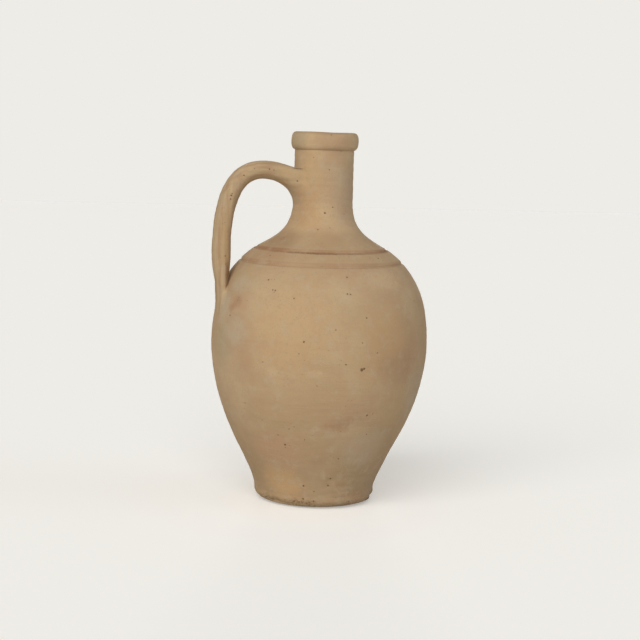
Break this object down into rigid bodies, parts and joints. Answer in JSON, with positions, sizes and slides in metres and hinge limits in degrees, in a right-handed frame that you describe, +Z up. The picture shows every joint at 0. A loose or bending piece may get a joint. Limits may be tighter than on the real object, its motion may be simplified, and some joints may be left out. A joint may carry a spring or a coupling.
{
  "type": "water jar",
  "caption": "Tall unglazed terracotta water jar: flat foot, full belly, two shoulder grooves, narrow neck with a rolled rim and a strap handle from neck to shoulder.",
  "frame": {"origin": "centre of the flat foot, on the surface that the jar stands on", "axes": "+Z up along the jar's axis, out of the mouth; the handle stands out on the -X side, in the XZ plane"},
  "size_m": [0.2392, 0.236, 0.4],
  "materials": {
    "body_clay": "matt unglazed buff terracotta with faint throwing rings, pits and smoke-grey patches",
    "neck_clay": "matt unglazed buff terracotta with finer throwing rings",
    "handle_clay": "matt unglazed buff terracotta, pulled and wiped smooth with pits and finger marks"
  },
  "bodies": {
    "root": {"base_disc": "body_clay", "lower_body": "body_clay", "upper_body": "body_clay", "shoulder_coil": "body_clay", "neck": "neck_clay", "rim_band": "neck_clay", "handle": "handle_clay", "handle_root_wad": "handle_clay", "handle_end_pad": "handle_clay"}
  },
  "joints": []
}
